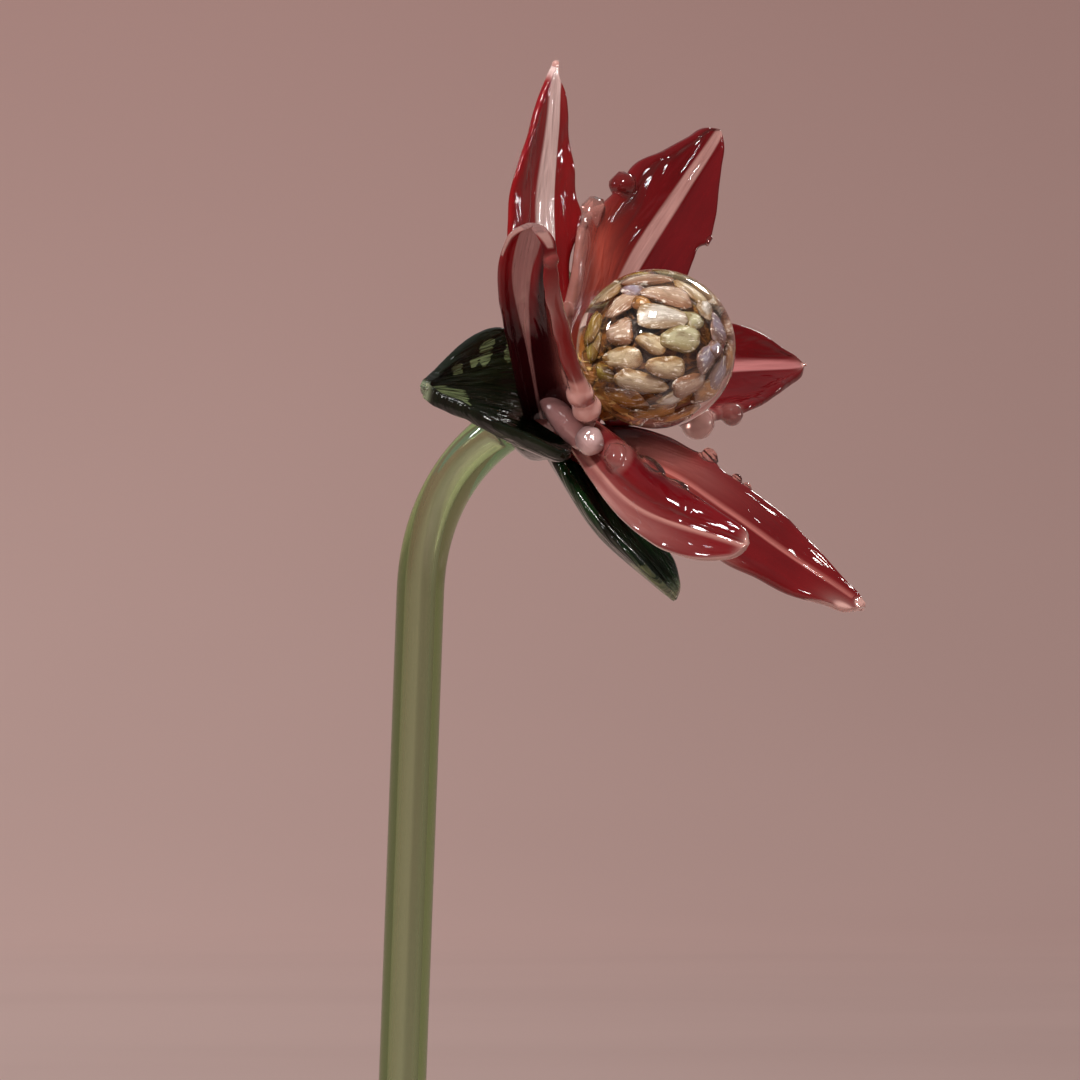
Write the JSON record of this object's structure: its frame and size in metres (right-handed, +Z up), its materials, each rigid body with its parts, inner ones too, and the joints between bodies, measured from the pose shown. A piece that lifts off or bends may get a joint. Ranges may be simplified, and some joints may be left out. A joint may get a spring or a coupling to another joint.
{
  "type": "glass magnolia flower standing in a plain bottle vase",
  "caption": "Hot-worked glass magnolia with red striped petals and a clear domed centre on a bent tubular stem, standing in a plain bottle vase.",
  "frame": {"origin": "middle of the vase's foot, on the surface it stands on", "axes": "+Z up; +X to the side that the flower nods to, +Y away from the flower's open face"},
  "size_m": [0.174, 0.1434, 0.4295],
  "materials": {
    "vase_glaze": "plain off-white stoneware with a satin glaze, opaque, with a bare foot",
    "stem_glass": "polished clear olive-green heavy-wall glass tube",
    "gather_glass": "glossy fused glass, pink in front and dark green behind",
    "petal_glass": "glossy deep red glass with a white-pink midrib and clear pink edges and beads",
    "sepal_glass": "glossy near-black green ribbed glass with olive streaks",
    "dome_glass": "thick polished clear glass",
    "core_glass": "amber-brown glass",
    "chip_glass": "cream and beige opal glass chips"
  },
  "bodies": {
    "root": {"vase": "vase_glaze", "stem": "stem_glass", "gather": "gather_glass", "dome": "dome_glass", "core": "core_glass", "petal_1": "petal_glass", "petal_2": "petal_glass", "petal_3": "petal_glass", "petal_4": "petal_glass", "petal_5": "petal_glass", "petal_6": "petal_glass", "sepal_1": "sepal_glass", "sepal_2": "sepal_glass", "sepal_3": "sepal_glass", "chip_01": "chip_glass", "chip_02": "chip_glass", "chip_03": "chip_glass", "chip_04": "chip_glass", "chip_05": "chip_glass", "chip_06": "chip_glass", "chip_07": "chip_glass", "chip_08": "chip_glass", "chip_09": "chip_glass", "chip_10": "chip_glass", "chip_11": "chip_glass", "chip_12": "chip_glass", "chip_13": "chip_glass", "chip_14": "chip_glass", "chip_15": "chip_glass", "chip_16": "chip_glass", "chip_17": "chip_glass", "chip_18": "chip_glass", "chip_19": "chip_glass", "chip_20": "chip_glass", "chip_21": "chip_glass", "chip_22": "chip_glass", "chip_23": "chip_glass", "chip_24": "chip_glass", "chip_25": "chip_glass", "chip_26": "chip_glass", "chip_27": "chip_glass", "chip_28": "chip_glass", "chip_29": "chip_glass", "chip_30": "chip_glass", "chip_31": "chip_glass", "chip_32": "chip_glass", "chip_33": "chip_glass", "chip_34": "chip_glass", "chip_35": "chip_glass", "chip_36": "chip_glass", "chip_37": "chip_glass", "chip_38": "chip_glass", "chip_39": "chip_glass", "chip_40": "chip_glass"}
  },
  "joints": []
}
